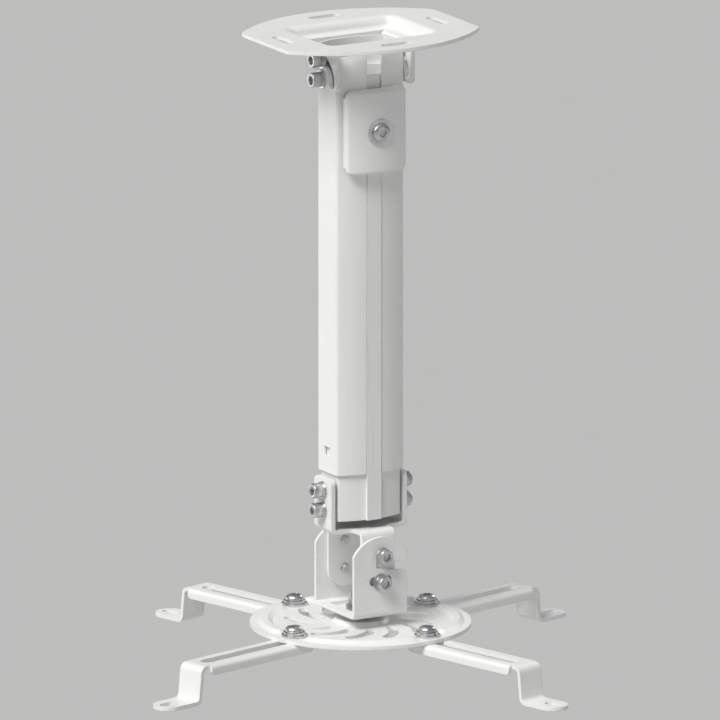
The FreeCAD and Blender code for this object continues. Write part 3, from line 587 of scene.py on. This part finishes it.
def nut_sides(size, top):
    """New nut with its countersunk foot and six chamfered sides, from z = 0 up to a height."""
    made = Turned()
    outline = hexagon(size["flats"])
    face = size["flats"] / 2 * nut_form["face_share"]
    slope = nut_form["slope"]
    made.ring(bore_radius(size) + nut_form["countersink"], 0)
    made.ring(face, 0)
    made.ring(outline, lambda turn: (outline(turn) - face) * slope)
    made.ring(outline, lambda turn: top - (outline(turn) - face) * slope)
    made.ring(face, top)
    return made


def hex_nut(size):
    """Nut with chamfered corners and a countersunk bore, from z = 0 up."""
    height = size["height"]
    bore = bore_radius(size)
    sink = nut_form["countersink"]
    made = nut_sides(size, height)
    made.ring(bore + sink, height)
    made.ring(bore, height - sink)
    made.ring(bore, sink)
    made.join()
    return made


def lock_nut(size):
    """Nut whose far end is a rolled collar that holds a nylon ring."""
    height = size["height"]
    bore = bore_radius(size)
    shoulder = height - collar_form["height"]
    seat = height - collar_form["seat"]
    collar = size["flats"] / 2 - collar_form["inset"]
    edge = collar_form["edge"]
    made = nut_sides(size, shoulder)
    made.ring(collar, shoulder + collar_form["step"])
    for turn in quarter_turns(collar_form["steps"]):
        made.ring(collar - edge + edge * math.cos(turn), height - edge + edge * math.sin(turn))
    made.ring(collar - collar_form["lip"], height)
    made.ring(collar - collar_form["lip"], seat)
    made.ring(bore, seat)
    made.ring(bore, nut_form["countersink"])
    made.join()
    return made


def nylon_ring(size):
    """Ring that stands in a lock nut's collar round the screw."""
    made = Turned()
    height = size["height"]
    chamfer = ring_form["chamfer"]
    bore = size["thread"] / 2
    outer = size["flats"] / 2 - collar_form["inset"] - collar_form["lip"] - ring_form["slack"]
    made.ring(bore, height - ring_form["foot"])
    made.ring(outer, height - ring_form["foot"])
    made.ring(outer, height - ring_form["shoulder"])
    made.ring(outer - chamfer, height - ring_form["top"])
    made.ring(bore + chamfer, height - ring_form["top"])
    made.ring(bore, height - ring_form["shoulder"])
    made.join()
    return made


# Placing them on the frame

def corners(node):
    """Lowest and highest corner of a CAD node's box."""
    low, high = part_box(node)
    return Vector(low), Vector(high)


def facing(point, way):
    """Matrix that stands a shape in millimetres on a point in metres, its Z along a way."""
    turn = Vector((0, 0, 1)).rotation_difference(Vector(way)).to_matrix().to_4x4()
    return Matrix.Translation(point) @ turn @ Matrix.Scale(millimetre, 4)


def pair_spots(axis, reach, height, inwards=False):
    """Two spots at one height that point both ways along an axis, in metres."""
    spots = []
    for side in (1, -1):
        way = Vector((0, 0, 0))
        way[axis] = side
        point = way * reach + Vector((0, 0, height))
        spots.append(facing(point, -way if inwards else way))
    return spots


def two_heights(node, radius):
    """Heights of the upper and lower of a node's fasteners, whose radius is in millimetres."""
    low, high = corners(node)
    return high.z - radius * millimetre, low.z + radius * millimetre


def upright_spot(node, depth=0.0, downwards=False):
    """Spot on a node's upright centre line, at a depth under the node's top."""
    low, high = corners(node)
    point = (low + high) / 2
    point.z = high.z - depth * millimetre
    return facing(point, (0, 0, -1) if downwards else (0, 0, 1))


def add_piece(name, parts, body, slot, *nodes):
    """One object made of shapes on their spots, riding on a body and standing for CAD nodes."""
    points = []
    faces = []
    for shape, spot in parts:
        first = len(points)
        points.extend(spot @ Vector(point) for point in shape.points)
        faces.extend(tuple(first + corner for corner in face) for face in shape.faces)
    piece = add_mesh(name, points, faces, finishes[slot])
    piece.data.polygons.foreach_set("use_smooth", [True] * len(faces))
    piece.data.set_sharp_from_angle(angle=sharp_angle)
    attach(piece, body)
    if nodes:
        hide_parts(*nodes)


def add_side_screws(prefix, body):
    """Screws and nuts that hold a tube between two ears."""
    seat = corners(prefix + "_screws")[1].x - small_screw["height"] * millimetre
    nut_face = corners(prefix + "_nuts")[1].x
    length = (seat - nut_face) / millimetre + small_nut["height"] + screw_end_spare
    screw = cap_screw(small_screw, length, screw_end_spare + thread_beyond_nut)
    nut = hex_nut(small_nut)
    screws = []
    nuts = []
    for height in two_heights(prefix + "_screws", small_screw["head"] / 2):
        screws += [(screw, spot) for spot in pair_spots(0, seat, height)]
        nuts += [(nut, spot) for spot in pair_spots(0, nut_face, height, inwards=True)]
    add_piece(prefix + "_cap_screws", screws, body, "zinc_plate", prefix + "_screws")
    add_piece(prefix + "_hex_nuts", nuts, body, "zinc_plate", prefix + "_nuts")


def add_tilt_bolts():
    """Bolts screwed into the bracket's tongues, with their ends showing inside."""
    end = corners("lower_bracket")[1].y - (tongue_sheet + screw_end_spare) * millimetre
    upper_seat = corners("tilt_spring_washers")[1].y
    lower_seat = corners("tilt_flat_washers")[1].y + small_spring_sheet * millimetre
    heights = two_heights("tilt_bolts", tilt_screw["head"] / 2)
    screws = []
    for seat, height in zip((upper_seat, lower_seat), heights):
        screw = cap_screw(tilt_screw, (seat - end) / millimetre,
                          screw_end_spare + thread_beyond_nut)
        screws += [(screw, spot) for spot in pair_spots(1, seat, height)]
    add_piece("tilt_cap_screws", screws, "inner_column", "zinc_plate", "tilt_bolts")


def add_clamp_screw():
    """Domed screw that presses the clamp cover on, threaded near its end."""
    low, high = corners("clamp_screw")
    seat = low.y + clamp_button["height"] * millimetre
    screw = button_screw(clamp_button, (high.y - seat) / millimetre, clamp_button["thread"])
    point = Vector(((low.x + high.x) / 2, seat, (low.z + high.z) / 2))
    add_piece("clamp_button_screw", [(screw, facing(point, (0, -1, 0)))],
              "inner_column", "zinc_plate", "clamp_screw")


def add_swivel():
    """Screw, lock nut and nylon ring that the round plate turns on."""
    low, high = corners("swivel_bolt")
    length = (high.z - low.z) / millimetre - swivel_screw["height"]
    screw = cap_screw(swivel_screw, length, swivel_nut["height"] + thread_beyond_nut)
    add_piece("swivel_cap_screw", [(screw, upright_spot("swivel_bolt", swivel_screw["height"]))],
              "yoke", "zinc_plate", "swivel_bolt")
    spot = upright_spot("swivel_nut", downwards=True)
    add_piece("swivel_lock_nut", [(lock_nut(swivel_nut), spot)],
              "yoke", "zinc_plate", "swivel_nut")
    add_piece("swivel_nut_ring", [(nylon_ring(swivel_nut), spot)], "yoke", "nylon")


def add_arm_screws():
    """Domed screw and nut that hold each arm under the round plate."""
    for name in arm_names:
        body = "arm_pivot_" + name
        screw_node = "arm_screw_" + name
        nut_node = "arm_nut_" + name
        low, high = corners(screw_node)
        seat = corners("arm_spring_washer_" + name)[1].z
        length = (seat - low.z) / millimetre
        spot = upright_spot(screw_node, (high.z - seat) / millimetre)
        screw = button_screw(arm_button, length, arm_nut["height"] + thread_beyond_nut)
        add_piece("arm_button_" + name, [(screw, spot)], body, "zinc_plate", screw_node)
        spot = upright_spot(nut_node, downwards=True)
        add_piece("arm_hex_nut_" + name, [(hex_nut(arm_nut), spot)], body, "zinc_plate", nut_node)


# Dressing the frame

def dress_nodes():
    """Gives every CAD node the finish of its slot, with scuffs where parts rub on it."""
    tilt_centre = (0, 0, two_heights("tilt_bolts", tilt_screw["head"] / 2)[0])
    pivot = (0, 0, two_heights("column_screws", small_screw["head"] / 2)[1])
    sliding = powder_coat("powder_coat_sliding", slide_rub)
    own_finish = {
        "outer_tube": sliding,
        "inner_tube": sliding,
        "ceiling_plate": powder_coat("powder_coat_ears", ring_rub(pivot, ear_track)),
        "yoke": powder_coat("powder_coat_yoke", ring_rub(tilt_centre, yoke_track)),
    }
    slot_of = {part["node"]: part["material_slot"] for part in frame["record"]["subparts"]}
    for name, node in frame["nodes"].items():
        for held in node.material_slots:
            held.material = own_finish.get(name, finishes[slot_of[name]])


# Studio

def make_floor():
    """One large flat floor, so far down that a camera beneath the mount stands above it."""
    low = cad_box[0][2] - floor_drop
    sides = [(-1, -1), (1, -1), (1, 1), (-1, 1)]
    points = [(x * floor_reach, y * floor_reach, low) for x, y in sides]
    floor = add_mesh("studio_floor", points, [(0, 1, 2, 3)], floor_paint())


def make_light(name, right, up, towards, size, power, colour):
    """Square soft light, placed by how far right, up and forward it stands of the object."""
    axes = picture_axes()
    target = axes[1] * view_centre_up
    place = target + axes[0] * right + axes[1] * up + axes[2] * towards
    light = bpy.data.lights.new(name, "AREA")
    light.shape = "SQUARE"
    light.size = size
    light.energy = power
    light.color = colour
    add_object(name, light).matrix_world = aimed(place, target)


def make_sun():
    """Broad even light from the upper left, the same on the object and the whole floor."""
    light = bpy.data.lights.new("sky_light", "SUN")
    light.energy = sun_strength
    light.angle = sun_spread
    light.color = sun_colour
    place = direction(sun_azimuth, sun_elevation)
    add_object("sky_light", light).matrix_world = aimed(place, Vector((0, 0, 0)))


def make_world():
    """Even pale light from all round, and a plain pale backdrop beyond the floor's end."""
    world = bpy.data.worlds.new("studio_world")
    shading = Shading(world)
    where = shading.node("ShaderNodeTexCoord").outputs["Generated"]
    height = shading.node("ShaderNodeSeparateXYZ", {0: where}).outputs["Z"]
    sky = shading.blend(shading.ramp(height, horizon_rise, zenith_rise),
                        world_horizon, world_zenith)
    background = shading.tree.nodes["Background"]
    shading.feed(sky, background.inputs["Color"])
    shading.feed(world_strength, background.inputs["Strength"])
    backdrop = shading.node("ShaderNodeBackground", {"Color": backdrop_colour})
    either = shading.node("ShaderNodeMixShader", {
        "Fac": shading.node("ShaderNodeLightPath").outputs["Is Camera Ray"],
        1: background.outputs["Background"],
        2: backdrop.outputs["Background"]})
    shading.feed(either.outputs["Shader"], shading.tree.nodes["World Output"].inputs["Surface"])
    bpy.context.scene.world = world


def make_studio():
    """Floor, lights and world, shown in plain colours."""
    make_floor()
    make_sun()
    for name, light in lights.items():
        make_light(name, **light)
    make_world()
    bpy.context.scene.view_settings.view_transform = "Standard"


def make_camera():
    """Camera at the drawing's viewing angle, framed as the drawing is."""
    right, up, towards = picture_axes()
    target = right * view_centre_right + up * view_centre_up
    distance = view_width * lens_mm / sensor_mm
    data = bpy.data.cameras.new("drawing_view")
    data.lens = lens_mm
    data.sensor_width = sensor_mm
    data.clip_start = clip_near
    data.clip_end = clip_far
    camera = add_object("drawing_view", data)
    camera.matrix_world = aimed(target + towards * distance, target)
    bpy.context.scene.camera = camera


finishes = {"powder_coat": powder_coat("powder_coat_white"), "zinc_plate": zinc_plate(),
            "nylon": nylon()}
dress_nodes()
add_side_screws("column", "outer_column")
add_side_screws("bracket", "inner_column")
add_tilt_bolts()
add_clamp_screw()
add_swivel()
add_arm_screws()
make_studio()
make_camera()
